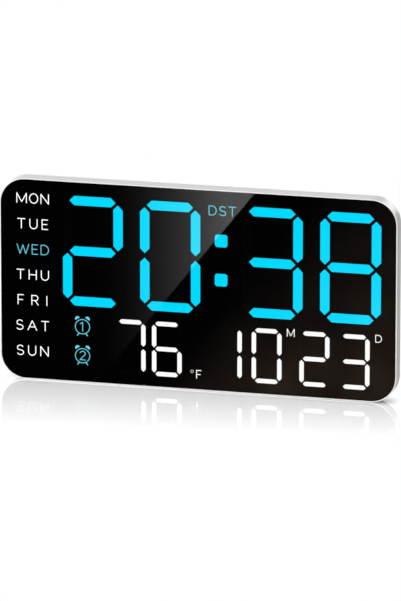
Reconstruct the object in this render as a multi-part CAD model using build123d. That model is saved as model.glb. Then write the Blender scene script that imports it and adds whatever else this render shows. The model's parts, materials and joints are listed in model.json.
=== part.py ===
from build123d import *

import os
from math import sqrt

# A digital wall clock, piece by piece, in millimetres.
# X runs to the right as the clock is read, the front faces -Y and Z is up.
# The origin lies under the middle of the case, on the plane that it stands on.
# A depth is counted from the front face of the clock towards its back.

# Case
case_width = 325.0
case_height = 166.0
case_corner_radius = 21.0
side_depth = 13.5
side_wall = 1.8
lip_width = 0.95
lip_edge_radius = 0.25
rear_edge_radius = 0.9
ledge_width = 5.8
ledge_thickness = 1.5

# Front panel, printed film and tape
panel_thickness = 2.0
panel_clearance = 0.1
panel_edge_radius = 0.3
film_thickness = 0.25
film_edge_gap = 0.3
tape_thickness = 0.15
contact_gap = 0.05
overcut = 1.0

# Time digits, set out from the edges of the case
time_left_margin = 51.4
time_right_margin = 13.5
time_top_margin = 12.6
time_stroke = 8.0
time_tip_gap = 1.85
pair_gap = 13.9
colon_gap = 11.55
colon_dot = 10.7
colon_dot_radius = 2.0
colon_rise = 16.05
colon_drop = 0.4

# Temperature, month and day digits
date_left_margin = 94.8
date_right_margin = 22.3
date_bottom_margin = 8.87
date_height = 45.45
date_stroke = 3.95
date_tip_gap = 1.04
row_gap = 8.4
temperature_gap = 4.9
temperature_to_month = 24.5
month_gap = 7.7
month_to_day = 14.2
day_gap = 7.8

# Lit words and signs: the wells behind them
weekday_inset = 27.7
weekday_top_margin = 16.9
weekday_bottom_margin = 23.3
weekday_well = (29.0, 11.0)
alarm_inset = 67.7
alarm_drop = 8.64
alarm_pitch = 24.2
alarm_well = (16.0, 18.0)
daylight_top_margin = 17.1
daylight_well = (25.0, 10.5)
degree_offset = 11.4
degree_well = (12.0, 9.0)
letter_well = (6.0, 7.5)
month_letter_offset = 9.2
day_letter_offset = 6.7

# Light box behind the film
reflector_fit = 0.3
flange_gap = 0.8
flange_width = 8.4
flange_thickness = 1.5
skirt_wall = 1.2
cell_margin = 0.3
cell_wall = 1.2
lens_depth = 2.5
lens_gap = 0.05

# Circuit board and lamps
board_thickness = 1.6
board_clearance = 0.45
lamp_size = (3.5, 2.8)
lamp_height = 1.4

# Screws and bosses
boss_radius = 3.0
boss_inset = 4.6
boss_notch_gap = 0.5
case_screw_radius = 1.1
case_screw_head_radius = 2.5
case_screw_head_height = 1.7
case_screw_length = 7.0
board_screw_radius = 0.9
board_screw_head_radius = 1.8
board_screw_head_height = 1.3
board_boss_radius = 2.2
board_screw_length = 4.5
screw_head_edge = 0.6
screw_tip_gap = 0.3
thread_gap = 0.05
screw_hole_gap = 0.4

# Back of the case
cover_wall = 2.0
cover_gap = 0.15
back_box_side_margin = 40.5
back_box_top_margin = 16.0
back_box_depth = 10.0
back_box_corner_radius = 8.0
back_box_edge_radius = 2.0
plate_rim = 4.0
post_radius = 2.5
post_side_inset = 12.0
post_low_height = 20.0
post_top_inset = 14.0

# Wall hooks
keyhole_side_inset = 32.0
keyhole_drop = 36.0
keyhole_radius = 4.5
keyhole_slot_width = 4.8
keyhole_slot_rise = 9.5
keyhole_pocket = (15.0, 26.0)
keyhole_pocket_depth = 6.0
inner_wall = 1.5

# Buttons and their switches
button_drop = 16.0
button_pitch = 22.0
button_radius = 3.75
button_hole_gap = 0.25
button_recess = 0.3
button_flange_radius = 5.2
button_flange_thickness = 1.0
button_flange_gap = 0.15
button_stem_radius = 1.9
button_travel = 0.5
button_dish = 0.4
button_dish_radius = 1.9
button_edge = 0.4
switch_size = 6.0
switch_height = 3.8
plunger_radius = 1.7
plunger_rise = 1.8
plunger_engagement = 0.7
plunger_gap = 0.08
plunger_floor_gap = 0.2

# Fold-out stand
stand_width = 62.0
stand_thickness = 4.0
stand_hinge_height = 80.0
stand_foot_height = 3.4
stand_side_gap = 0.6
stand_under_gap = 0.6
stand_recess = 0.3
stand_skin = 1.6
stand_rim = 4.0
stand_corner_radius = 4.0
stand_pocket_radius = 2.0
hinge_pin_radius = 1.1
hinge_running_gap = 0.06
hinge_seat_gap = 0.03
hinge_seat_depth = 1.4
foot_pad_inset = 9.0
foot_pad_thickness = 2.4
foot_pad_rise = 1.4
foot_pad_seat = 1.2

# Coin cell, its holder and its door
cell_x = 72.0
cell_drop = 18.5
cell_radius = 10.0
cell_thickness = 3.2
cell_edge = 0.4
cell_holder_wall = 2.38
cell_holder_corner_radius = 2.0
cell_holder_floor = 0.8
cell_gap = 0.12
clip_width = 5.0
clip_thickness = 0.4
door_size = (30.0, 34.0)
door_corner_radius = 3.0
door_thickness = 1.2
door_gap = 0.2
door_ledge = 2.0
door_plug_depth = 2.2
door_plug_wall = 1.2
door_notch_radius = 5.0
door_notch_depth = 0.6

# Power inlet
inlet_height = 76.0
inlet_width = 9.0
inlet_thickness = 3.2
inlet_length = 7.4
inlet_corner_radius = 1.55
inlet_shell = 0.3
inlet_back_wall = 0.9
inlet_hole_gap = 0.3
inlet_setback = 0.3
tongue_size = (4.6, 6.6, 0.7)
power_board_size = (19.0, 24.0)
power_board_standoff = 1.2
power_board_edge_gap = 1.0
power_screw_spread = 8.0
power_screw_inset = 13.0

# Parts on the circuit board
chip_size = (10.0, 10.0, 1.5)
driver_size = (18.0, 7.5, 2.3)
driver_drop = 16.0
crystal_radius = 1.5
crystal_length = 8.0
crystal_offset = 13.0
capacitor_radius = 3.15
capacitor_height = 7.0
capacitor_offset = 9.0
can_edge = 0.6
buzzer_center = (-70.0, 46.0)
buzzer_radius = 6.0
buzzer_height = 7.0
buzzer_port_radius = 1.0
buzzer_port_depth = 1.5
link_size = (7.0, 5.0)
sensor_side_inset = 18.0
sensor_height = 30.0
sensor_size = (4.6, 3.6, 4.8)
receiver_base = (4.4, 4.4, 2.1)
receiver_lens_radius = 2.0
receiver_lens_rise = 2.1
receiver_lens_edge = 0.8
receiver_rise = 12.4
light_sensor_size = (3.2, 3.2, 1.2)
light_sensor_drop = 0.6
sensor_well_radius = 3.6

# Vents behind the buzzer
vent_count = 7
vent_pitch = 4.5
vent_width = 1.8
vent_length = 20.0

# Depths worked out from the sizes above
total_depth = side_depth + back_box_depth
front_y = -total_depth / 2
film_front = panel_thickness + contact_gap
film_back = film_front + film_thickness
ledge_front = film_back + tape_thickness
ledge_back = ledge_front + ledge_thickness
face_front = film_back + contact_gap
cover_front = side_depth - cover_wall
board_back = cover_front - board_clearance
board_front = board_back - board_thickness
flange_back = ledge_back + flange_thickness
box_inside = total_depth - cover_wall
ledge_inset = lip_width + ledge_width
flange_inset = side_wall + flange_gap
film_inset = lip_width + panel_clearance + film_edge_gap

back_box_width = case_width - 2 * back_box_side_margin
back_box_height = case_height - back_box_top_margin

# Rows of digits worked out from the margins
half_width = case_width / 2
time_left = -half_width + time_left_margin
time_right = half_width - time_right_margin
time_width = (time_right - time_left - 2 * pair_gap - 2 * colon_gap - colon_dot) / 4
date_top = date_bottom_margin + date_height
time_bottom = date_top + row_gap
time_height = case_height - time_top_margin - time_bottom
time_middle = time_bottom + time_height / 2
date_middle = date_bottom_margin + date_height / 2
date_left = -half_width + date_left_margin
date_right = half_width - date_right_margin
date_gaps = temperature_gap + temperature_to_month + month_gap + month_to_day + day_gap
date_width = (date_right - date_left - date_gaps) / 6
colon_x = time_left + 2 * time_width + pair_gap + colon_gap + colon_dot / 2


def row_centers(left, width, gaps):
    centers = [left + width / 2]
    for gap in gaps:
        centers.append(centers[-1] + width + gap)
    return centers


time_centers = row_centers(time_left, time_width, [pair_gap, 2 * colon_gap + colon_dot, pair_gap])
date_centers = row_centers(
    date_left, date_width, [temperature_gap, temperature_to_month, month_gap, month_to_day, day_gap]
)
temperature_right = date_centers[1] + date_width / 2
month_left = date_centers[2] - date_width / 2
month_right = date_centers[3] + date_width / 2
sensor_column = (temperature_right + month_left) / 2

time_names = ["hour_tens", "hour_units", "minute_tens", "minute_units"]
date_names = [
    "temperature_tens", "temperature_units", "month_tens", "month_units", "day_tens", "day_units"
]


def depth_plane(depth):
    return Plane(origin=(0, front_y + depth, 0), x_dir=(1, 0, 0), z_dir=(0, -1, 0))


def slab(sketch, front, back):
    """A flat piece of the given outline between two depths."""
    return extrude(depth_plane(back) * sketch, back - front)


def solids_of(shape):
    return list(shape.solids())


def disc(x, z, radius):
    return Pos(x, z) * Circle(radius)


def block(x, z, width, height, corner=0.0):
    if corner > 0:
        return Pos(x, z) * RectangleRounded(width, height, corner)
    return Pos(x, z) * Rectangle(width, height)


def rod(x, z, radius, front, back):
    return slab(disc(x, z, radius), front, back)


def cross_bar(x_start, x_end, depth, z, shape):
    """A bar along X; the shape is drawn with depth across and height up."""
    plane = Plane(origin=(x_start, front_y + depth, z), x_dir=(0, 1, 0), z_dir=(1, 0, 0))
    return extrude(plane * shape, x_end - x_start)


def case_outline(inset):
    corner = max(case_corner_radius - inset, 0.5)
    return block(0, case_height / 2, case_width - 2 * inset, case_height - 2 * inset, corner)


def box_outline(inset):
    corner = max(back_box_corner_radius - inset, 0.5)
    width = back_box_width - 2 * inset
    height = back_box_height - 2 * inset
    return block(0, back_box_height / 2, width, height, corner)


# Segments
class Segment:
    """One bar of a digit: its middle, its length from tip to tip, its stroke and its turn."""

    def __init__(self, x, z, length, stroke, upright):
        self.x = x
        self.z = z
        self.length = length
        self.stroke = stroke
        self.upright = upright

    def shape(self, grow=0.0):
        half = self.length / 2 + grow * sqrt(2)
        side = self.stroke / 2 + grow
        points = [
            (-half, 0), (side - half, -side), (half - side, -side),
            (half, 0), (half - side, side), (side - half, side)
        ]
        if self.upright:
            points = [(-v, u) for u, v in points]
        placed = [(self.x + u, self.z + v) for u, v in points]
        return Polygon(*placed, align=None)

    def lamp_places(self, count):
        places = []
        for index in range(count):
            along = self.length * ((index + 0.5) / count - 0.5)
            if self.upright:
                places.append((self.x, self.z + along))
            else:
                places.append((self.x + along, self.z))
        return places


def digit_segments(x, z, width, height, stroke, tip_gap):
    """The seven bars of a digit with the given outside size."""
    reach = (width - stroke) / 2
    rise = (height - stroke) / 2
    flat = 2 * (reach - tip_gap)
    tall = rise - 2 * tip_gap
    return [
        Segment(x, z + rise, flat, stroke, False),
        Segment(x + reach, z + rise / 2, tall, stroke, True),
        Segment(x + reach, z - rise / 2, tall, stroke, True),
        Segment(x, z - rise, flat, stroke, False),
        Segment(x - reach, z - rise / 2, tall, stroke, True),
        Segment(x - reach, z + rise / 2, tall, stroke, True),
        Segment(x, z, flat, stroke, False),
    ]


digits = {}
for name, center in zip(time_names, time_centers):
    digits[name] = digit_segments(
        center, time_middle, time_width, time_height, time_stroke, time_tip_gap
    )
for name, center in zip(date_names, date_centers):
    digits[name] = digit_segments(
        center, date_middle, date_width, date_height, date_stroke, date_tip_gap
    )
colon_places = [
    (colon_x, time_middle - colon_drop + colon_rise),
    (colon_x, time_middle - colon_drop - colon_rise),
]


def dot_shape(place, grow=0.0):
    size = colon_dot + 2 * grow
    return block(place[0], place[1], size, size, colon_dot_radius + grow)


# Wells behind the lit words and signs, each as a middle and a size
weekday_pitch = (case_height - weekday_top_margin - weekday_bottom_margin) / 6
wells = []
for index in range(7):
    height = case_height - weekday_top_margin - index * weekday_pitch
    wells.append((-half_width + weekday_inset, height, weekday_well))
for index in range(2):
    height = date_middle - alarm_drop + index * alarm_pitch
    wells.append((-half_width + alarm_inset, height, alarm_well))
wells.append((colon_x, case_height - daylight_top_margin, daylight_well))
wells.append((temperature_right + degree_offset, date_bottom_margin + degree_well[1] / 2, degree_well))
letter_height = date_top - letter_well[1] / 2
wells.append((month_right + month_letter_offset, letter_height, letter_well))
wells.append((date_right + day_letter_offset, letter_height, letter_well))
sensor_wells = [
    (sensor_column, date_middle + receiver_rise),
    (sensor_column, date_middle - light_sensor_drop),
]


def light_openings(grow):
    """Outlines of every cell and well, larger all round by the given amount."""
    shapes = []
    for bars in digits.values():
        shapes += [bar.shape(cell_margin + grow) for bar in bars]
    shapes += [dot_shape(place, cell_margin + grow) for place in colon_places]
    for x, z, size in wells:
        shapes.append(block(x, z, size[0] + 2 * grow, size[1] + 2 * grow))
    for x, z in sensor_wells:
        shapes.append(disc(x, z, sensor_well_radius + grow))
    return shapes


# Bosses for the case screws: one in each corner and one half way up each side
diagonal = (case_corner_radius - boss_inset) / sqrt(2)
boss_x = half_width - case_corner_radius + diagonal
boss_low = case_corner_radius - diagonal
case_screw_places = []
for side in (-1, 1):
    case_screw_places.append((side * boss_x, boss_low))
    case_screw_places.append((side * boss_x, case_height - boss_low))
    case_screw_places.append((side * (half_width - boss_inset), case_height / 2))
boss_notches = [disc(x, z, boss_radius + boss_notch_gap) for x, z in case_screw_places]

# Board screws stand in the gaps between the digits
hour_gap_x = time_centers[0] + (time_width + pair_gap) / 2
minute_gap_x = time_centers[3] - (time_width + pair_gap) / 2
row_gap_z = date_top + row_gap / 2
board_screw_places = [
    (-half_width + alarm_inset, row_gap_z),
    (hour_gap_x, time_middle),
    (colon_x, time_middle - colon_drop),
    (minute_gap_x, time_middle),
    (date_centers[0], row_gap_z),
    (sensor_column, row_gap_z),
    (date_centers[4], row_gap_z),
]


def make_front_frame():
    shell = slab(case_outline(0), 0, side_depth)
    shell = fillet(shell.edges().group_by(Axis.Y)[0], lip_edge_radius)
    shell = fillet(shell.edges().group_by(Axis.Y)[-1], rear_edge_radius)
    shell -= slab(case_outline(lip_width), -overcut, ledge_front)
    shell -= slab(case_outline(ledge_inset), -overcut, side_depth)
    shell -= slab(case_outline(side_wall), ledge_back, side_depth + overcut)
    for x, z in case_screw_places:
        shell += rod(x, z, boss_radius, ledge_back, cover_front)
    for x, z in case_screw_places:
        shell -= rod(x, z, case_screw_radius + thread_gap, ledge_back, cover_front + overcut)
    return shell


def make_front_panel():
    panel = slab(case_outline(lip_width + panel_clearance), 0, panel_thickness)
    return fillet(panel.edges().group_by(Axis.Y)[0], panel_edge_radius)


def make_mask_film():
    windows = []
    for bars in digits.values():
        windows += [bar.shape() for bar in bars]
    windows += [dot_shape(place) for place in colon_places]
    return slab(case_outline(film_inset) - windows, film_front, film_back)


def make_panel_tape():
    ring = case_outline(film_inset) - case_outline(ledge_inset)
    return slab(ring, film_back, ledge_front)


def make_segment_reflector():
    openings = light_openings(0)
    tubes = light_openings(cell_wall)
    tubes += [disc(x, z, board_boss_radius) for x, z in board_screw_places]
    pilots = [disc(x, z, board_screw_radius + thread_gap) for x, z in board_screw_places]
    outer = case_outline(flange_inset)
    flange = outer - case_outline(flange_inset + flange_width)
    skirt = outer - case_outline(flange_inset + skirt_wall)
    front_layer = case_outline(ledge_inset + reflector_fit) - openings
    flange_layer = (flange + tubes) - (openings + pilots + boss_notches)
    rear_layer = (skirt + tubes) - (openings + pilots + boss_notches)
    body = slab(front_layer, face_front, ledge_back)
    body += slab(flange_layer, ledge_back, flange_back)
    body += slab(rear_layer, flange_back, board_front)
    return body


def make_digit(bars):
    lenses = []
    for bar in bars:
        shape = bar.shape(cell_margin - lens_gap)
        lenses += solids_of(slab(shape, face_front, face_front + lens_depth))
    return lenses


def make_colon_dots():
    dots = []
    for place in colon_places:
        shape = dot_shape(place, cell_margin - lens_gap)
        dots += solids_of(slab(shape, face_front, face_front + lens_depth))
    return dots


def make_led_board():
    holes = [disc(x, z, board_screw_radius + screw_hole_gap) for x, z in board_screw_places]
    return slab(case_outline(flange_inset) - (holes + boss_notches), board_front, board_back)


def make_lamp(place, upright=False):
    width, height = lamp_size
    if upright:
        width, height = height, width
    outline = block(place[0], place[1], width, height)
    return solids_of(slab(outline, board_front - lamp_height, board_front))


def make_segment_leds():
    lamps = []
    for name, bars in digits.items():
        count = 2 if name in time_names else 1
        for bar in bars:
            for place in bar.lamp_places(count):
                lamps += make_lamp(place, bar.upright)
    for place in colon_places:
        lamps += make_lamp(place)
    return lamps


def make_legend_leds():
    lamps = []
    for x, z, size in wells:
        lamps += make_lamp((x, z))
    return lamps


def make_screw(x, z, radius, head_radius, head_height, length, seat, towards_front=True):
    """A pan-head screw whose head sits on the given depth."""
    turn = 1 if towards_front else -1
    top = seat + turn * head_height
    tip = seat - turn * length
    head = rod(x, z, head_radius, min(seat, top), max(seat, top))
    head = chamfer(head.edges().group_by(Axis.Y)[-1 if towards_front else 0], screw_head_edge)
    shank = rod(x, z, radius, min(seat, tip), max(seat, tip))
    return solids_of(head + shank)


def make_case_screws():
    screws = []
    for x, z in case_screw_places:
        screws += make_screw(
            x, z, case_screw_radius, case_screw_head_radius, case_screw_head_height,
            case_screw_length, side_depth
        )
    return screws


def make_board_screws():
    screws = []
    for x, z in board_screw_places:
        screws += make_screw(
            x, z, board_screw_radius, board_screw_head_radius, board_screw_head_height,
            board_screw_length, board_back
        )
    return screws


# Places on the back
button_row_height = back_box_height - button_drop
button_places = [(button_pitch * (index - 1.5), button_row_height) for index in range(4)]
button_names = ["mode_button", "up_button", "down_button", "alarm_button"]
keyhole_x = back_box_width / 2 - keyhole_side_inset
keyhole_height = back_box_height - keyhole_drop
keyhole_places = [(-keyhole_x, keyhole_height), (keyhole_x, keyhole_height)]
recess_half = stand_width / 2 + stand_side_gap
recess_top = stand_hinge_height + stand_thickness / 2 + stand_side_gap
leg_back = total_depth - stand_recess
leg_front = leg_back - stand_thickness
recess_floor = leg_front - stand_under_gap
hinge_depth = (leg_front + leg_back) / 2
power_board_back = box_inside - power_board_standoff
power_board_front = power_board_back - board_thickness
power_board_right = back_box_width / 2 - cover_wall - power_board_edge_gap
power_board_x = power_board_right - power_board_size[0] / 2
power_screw_x = power_board_right - power_screw_inset
power_screw_places = [
    (power_screw_x, inlet_height - power_screw_spread),
    (power_screw_x, inlet_height + power_screw_spread),
]
inlet_depth = power_board_front - inlet_thickness / 2
inlet_end = back_box_width / 2 - inlet_setback
cell_center = (cell_x, row_gap_z - cell_drop)
cell_holder_size = 2 * (cell_radius + cell_gap + cell_holder_wall)
foot_pad_width = stand_width - 2 * foot_pad_inset
door_opening = (door_size[0] - 2 * door_ledge, door_size[1] - 2 * door_ledge)
holder_top = board_back + cell_holder_floor + cell_thickness
post_x = back_box_width / 2 - post_side_inset
post_top = back_box_height - post_top_inset
post_places = [(x, z) for x in (-post_x, post_x) for z in (post_low_height, post_top)]
chip_center = (time_centers[1], time_middle)
crystal_center = (time_centers[1] - crystal_offset, time_middle)
capacitor_center = (time_centers[2] - capacitor_offset, time_middle)
driver_centers = [(center, time_middle - driver_drop) for center in time_centers[:3]]
sensor_center = (-back_box_width / 2 + sensor_side_inset, sensor_height)


def keyhole_shape(x, z):
    slot_top = z + keyhole_slot_rise
    slot = block(x, (z + slot_top) / 2, keyhole_slot_width, keyhole_slot_rise)
    return disc(x, z, keyhole_radius) + slot + disc(x, slot_top, keyhole_slot_width / 2)


def add_keyholes(body):
    width, height = keyhole_pocket
    floor = box_inside - keyhole_pocket_depth
    for x, z in keyhole_places:
        middle = z + keyhole_slot_rise / 2
        outer = block(x, middle, width + 2 * inner_wall, height + 2 * inner_wall)
        body += slab(outer, floor - inner_wall, box_inside)
        body -= slab(block(x, middle, width, height), floor, box_inside)
        body -= slab(keyhole_shape(x, z), box_inside - overcut, total_depth + overcut)
    return body


def add_stand_recess(body):
    height = recess_top + inner_wall
    tub = block(0, height / 2, 2 * recess_half + 2 * cover_wall, height)
    body += slab(tub, recess_floor - cover_wall, box_inside)
    opening = block(0, recess_top / 2 - 1, 2 * recess_half, recess_top + 2)
    body -= slab(opening, recess_floor, total_depth + overcut)
    reach = recess_half + hinge_seat_depth
    seat = Circle(hinge_pin_radius + hinge_seat_gap)
    body -= cross_bar(-reach, reach, hinge_depth, stand_hinge_height, seat)
    return body


def add_battery_well(body):
    x, z = cell_center
    width, height = door_opening
    sleeve = block(x, z, width + 2 * inner_wall, height + 2 * inner_wall) - block(x, z, width, height)
    body += slab(sleeve, holder_top + clip_thickness + contact_gap, box_inside)
    seat_size = (door_size[0] + 2 * door_gap, door_size[1] + 2 * door_gap)
    seat = block(x, z, seat_size[0], seat_size[1], door_corner_radius + door_gap)
    body -= slab(seat, total_depth - door_thickness, total_depth + overcut)
    body -= slab(block(x, z, width, height), box_inside - overcut, total_depth + overcut)
    return body


def make_rear_cover():
    box = slab(box_outline(0), side_depth, total_depth)
    box = fillet(box.edges().group_by(Axis.Y)[-1], back_box_edge_radius)
    body = slab(case_outline(side_wall + cover_gap), cover_front, side_depth) + box
    body -= slab(box_outline(cover_wall), side_depth, box_inside)
    body -= slab(box_outline(cover_wall + plate_rim), cover_front - overcut, side_depth)
    for x, z in post_places:
        body += rod(x, z, post_radius, board_back, box_inside)
    body = add_stand_recess(body)
    body = add_keyholes(body)
    body = add_battery_well(body)
    for x, z in power_screw_places:
        body += rod(x, z, board_boss_radius, power_board_back, box_inside)
        pilot = board_screw_radius + thread_gap
        body -= rod(x, z, pilot, power_board_back - overcut, box_inside + cover_wall / 2)
    for x, z in button_places:
        body -= rod(x, z, button_radius + button_hole_gap, box_inside - overcut, total_depth + overcut)
    for x, z in case_screw_places:
        hole = case_screw_radius + screw_hole_gap
        body -= rod(x, z, hole, cover_front - overcut, side_depth + overcut)
    head_top = board_back + board_screw_head_height + screw_tip_gap
    for x, z in board_screw_places:
        body -= rod(x, z, board_screw_head_radius + screw_hole_gap, cover_front - overcut, head_top)
    slots = []
    for index in range(vent_count):
        x = buzzer_center[0] + vent_pitch * (index - (vent_count - 1) / 2)
        slots.append(Pos(x, buzzer_center[1]) * SlotOverall(vent_length, vent_width, rotation=90))
    for slot in slots:
        body -= slab(slot, box_inside - overcut, total_depth + overcut)
    hole = RectangleRounded(
        inlet_thickness + 2 * inlet_hole_gap, inlet_width + 2 * inlet_hole_gap,
        inlet_corner_radius + inlet_hole_gap
    )
    wall_start = back_box_width / 2 - cover_wall - overcut
    body -= cross_bar(wall_start, back_box_width / 2 + overcut, inlet_depth, inlet_height, hole)
    return body


def make_button(x, z):
    top = total_depth - button_recess
    flange_back_depth = box_inside - button_flange_gap
    flange_front_depth = flange_back_depth - button_flange_thickness
    stem_front = board_back + switch_height + plunger_rise
    cap = rod(x, z, button_radius, flange_front_depth, top)
    cap = chamfer(cap.edges().group_by(Axis.Y)[-1], button_edge)
    cap += rod(x, z, button_flange_radius, flange_front_depth, flange_back_depth)
    cap += rod(x, z, button_stem_radius, stem_front, flange_front_depth)
    cap -= rod(x, z, button_dish_radius, top - button_dish, top + overcut)
    return cap


def make_plunger(x, z):
    top = board_back + switch_height + plunger_rise
    bottom = board_back + switch_height - plunger_engagement
    return rod(x, z, plunger_radius, bottom, top)


def make_button_switches():
    bodies = []
    for x, z in button_places:
        body = slab(block(x, z, switch_size, switch_size), board_back, board_back + switch_height)
        hole_floor = board_back + switch_height - plunger_engagement - button_travel - plunger_floor_gap
        body -= rod(x, z, plunger_radius + plunger_gap, hole_floor, board_back + switch_height + overcut)
        bodies += solids_of(body)
    return bodies


def make_stand_leg():
    height = stand_hinge_height - stand_foot_height
    middle = stand_foot_height + height / 2
    outline = block(0, middle, stand_width, height)
    corners = outline.vertices().group_by(Axis.Y)[0]
    leg = slab(fillet(corners, stand_corner_radius), leg_front, leg_back)
    leg += cross_bar(
        -stand_width / 2, stand_width / 2, hinge_depth, stand_hinge_height, Circle(stand_thickness / 2)
    )
    pocket_width = (stand_width - 3 * stand_rim) / 2
    pocket_low = stand_foot_height + foot_pad_seat + stand_rim
    pocket_high = stand_hinge_height - stand_thickness / 2 - stand_rim
    for side in (-1, 1):
        x = side * (pocket_width + stand_rim) / 2
        pocket_middle = (pocket_low + pocket_high) / 2
        pocket = block(x, pocket_middle, pocket_width, pocket_high - pocket_low, stand_pocket_radius)
        leg -= slab(pocket, leg_front - overcut, leg_back - stand_skin)
    groove = block(0, stand_foot_height, foot_pad_width, 2 * foot_pad_seat)
    pad_front = hinge_depth - foot_pad_thickness / 2
    leg -= slab(groove, pad_front, pad_front + foot_pad_thickness)
    bore = Circle(hinge_pin_radius + hinge_running_gap)
    leg -= cross_bar(-stand_width, stand_width, hinge_depth, stand_hinge_height, bore)
    return leg


def make_stand_hinge_pin():
    reach = recess_half + hinge_seat_depth - contact_gap
    return cross_bar(-reach, reach, hinge_depth, stand_hinge_height, Circle(hinge_pin_radius))


def make_stand_foot_pad():
    bottom = stand_foot_height - foot_pad_rise
    top = stand_foot_height + foot_pad_seat
    pad = block(0, (bottom + top) / 2, foot_pad_width, top - bottom)
    pad_front = hinge_depth - foot_pad_thickness / 2
    return slab(pad, pad_front, pad_front + foot_pad_thickness)


def make_battery_door():
    x, z = cell_center
    width, height = door_opening
    plate = slab(
        block(x, z, door_size[0], door_size[1], door_corner_radius),
        total_depth - door_thickness, total_depth
    )
    plug_width = width - 2 * door_gap
    plug_height = height - 2 * door_gap
    ring = block(x, z, plug_width, plug_height)
    ring -= block(x, z, plug_width - 2 * door_plug_wall, plug_height - 2 * door_plug_wall)
    plate += slab(ring, total_depth - door_thickness - door_plug_depth, total_depth - door_thickness)
    notch = disc(x, z + door_size[1] / 2, door_notch_radius)
    plate -= slab(notch, total_depth - door_notch_depth, total_depth + overcut)
    return plate


def make_coin_cell_holder():
    x, z = cell_center
    outline = block(x, z, cell_holder_size, cell_holder_size, cell_holder_corner_radius)
    holder = slab(outline, board_back, holder_top)
    holder -= rod(x, z, cell_radius + cell_gap, board_back + cell_holder_floor, holder_top + overcut)
    return holder


def make_coin_cell():
    x, z = cell_center
    cell = rod(x, z, cell_radius, board_back + cell_holder_floor, holder_top)
    return chamfer(cell.edges().group_by(Axis.Y)[-1], cell_edge)


def make_cell_clip():
    x, z = cell_center
    half = cell_holder_size / 2
    strap = block(x, z, clip_width, cell_holder_size + 2 * clip_thickness)
    clip = slab(strap, holder_top, holder_top + clip_thickness)
    for side in (-1, 1):
        leg = block(x, z + side * (half + clip_thickness / 2), clip_width, clip_thickness)
        clip += slab(leg, board_back, holder_top + clip_thickness)
    return clip


def make_power_board():
    outline = block(power_board_x, inlet_height, power_board_size[0], power_board_size[1])
    holes = [disc(x, z, board_screw_radius + screw_hole_gap) for x, z in power_screw_places]
    return slab(outline - holes, power_board_front, power_board_back)


def make_power_board_screws():
    screws = []
    length = board_thickness + power_board_standoff + cover_wall / 2 - screw_tip_gap
    for x, z in power_screw_places:
        screws += make_screw(
            x, z, board_screw_radius, board_screw_head_radius, board_screw_head_height,
            length, power_board_front, False
        )
    return screws


def make_usb_socket():
    outer = RectangleRounded(inlet_thickness, inlet_width, inlet_corner_radius)
    mouth_thickness = inlet_thickness - 2 * inlet_shell
    mouth_width = inlet_width - 2 * inlet_shell
    inner = RectangleRounded(mouth_thickness, mouth_width, inlet_corner_radius - inlet_shell)
    start = inlet_end - inlet_length
    shell = cross_bar(start, inlet_end, inlet_depth, inlet_height, outer)
    shell -= cross_bar(start + inlet_back_wall, inlet_end + overcut, inlet_depth, inlet_height, inner)
    return shell


def make_usb_tongue():
    length, width, thickness = tongue_size
    start = inlet_end - inlet_length + inlet_back_wall
    return cross_bar(start, start + length, inlet_depth, inlet_height, Rectangle(thickness, width))


def make_board_link():
    x = power_board_x - power_board_size[0] / 2 + link_size[1]
    link = slab(block(x, inlet_height, link_size[1], link_size[0]), board_back, power_board_front)
    return link


def on_board(center, size):
    outline = block(center[0], center[1], size[0], size[1])
    return solids_of(slab(outline, board_back, board_back + size[2]))


def make_led_driver_chips():
    chips = []
    for center in driver_centers:
        chips += on_board(center, driver_size)
    return chips


def make_clock_crystal():
    x, z = crystal_center
    depth = board_back + crystal_radius + contact_gap
    return cross_bar(x - crystal_length / 2, x + crystal_length / 2, depth, z, Circle(crystal_radius))


def make_capacitor():
    x, z = capacitor_center
    can = rod(x, z, capacitor_radius, board_back, board_back + capacitor_height)
    return chamfer(can.edges().group_by(Axis.Y)[-1], can_edge)


def make_buzzer():
    x, z = buzzer_center
    can = rod(x, z, buzzer_radius, board_back, board_back + buzzer_height)
    can = chamfer(can.edges().group_by(Axis.Y)[-1], can_edge)
    top = board_back + buzzer_height
    return can - rod(x, z, buzzer_port_radius, top - buzzer_port_depth, top + overcut)


def make_infrared_receiver():
    x, z = sensor_wells[0]
    width, height, rise = receiver_base
    base_front = board_front - rise
    base = slab(block(x, z, width, height), base_front, board_front)
    lens = rod(x, z, receiver_lens_radius, base_front - receiver_lens_rise, base_front)
    lens = chamfer(lens.edges().group_by(Axis.Y)[0], receiver_lens_edge)
    return base + lens


def make_light_sensor():
    x, z = sensor_wells[1]
    width, height, rise = light_sensor_size
    return slab(block(x, z, width, height), board_front - rise, board_front)


pieces = {
    "front_frame": make_front_frame(),
    "front_panel": make_front_panel(),
    "mask_film": make_mask_film(),
    "panel_tape": make_panel_tape(),
    "segment_reflector": make_segment_reflector(),
    "colon_dots": make_colon_dots(),
    "led_board": make_led_board(),
    "segment_leds": make_segment_leds(),
    "legend_leds": make_legend_leds(),
    "microcontroller": on_board(chip_center, chip_size),
    "led_driver_chips": make_led_driver_chips(),
    "clock_crystal": make_clock_crystal(),
    "power_capacitor": make_capacitor(),
    "buzzer": make_buzzer(),
    "temperature_sensor": on_board(sensor_center, sensor_size),
    "infrared_receiver": make_infrared_receiver(),
    "light_sensor": make_light_sensor(),
    "coin_cell_holder": make_coin_cell_holder(),
    "coin_cell": make_coin_cell(),
    "cell_clip": make_cell_clip(),
    "power_board": make_power_board(),
    "power_board_screws": make_power_board_screws(),
    "usb_socket": make_usb_socket(),
    "usb_tongue": make_usb_tongue(),
    "board_link": make_board_link(),
    "button_switches": make_button_switches(),
    "rear_cover": make_rear_cover(),
    "case_screws": make_case_screws(),
    "board_screws": make_board_screws(),
    "stand_leg": make_stand_leg(),
    "stand_hinge_pin": make_stand_hinge_pin(),
    "stand_foot_pad": make_stand_foot_pad(),
    "battery_door": make_battery_door(),
}
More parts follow.
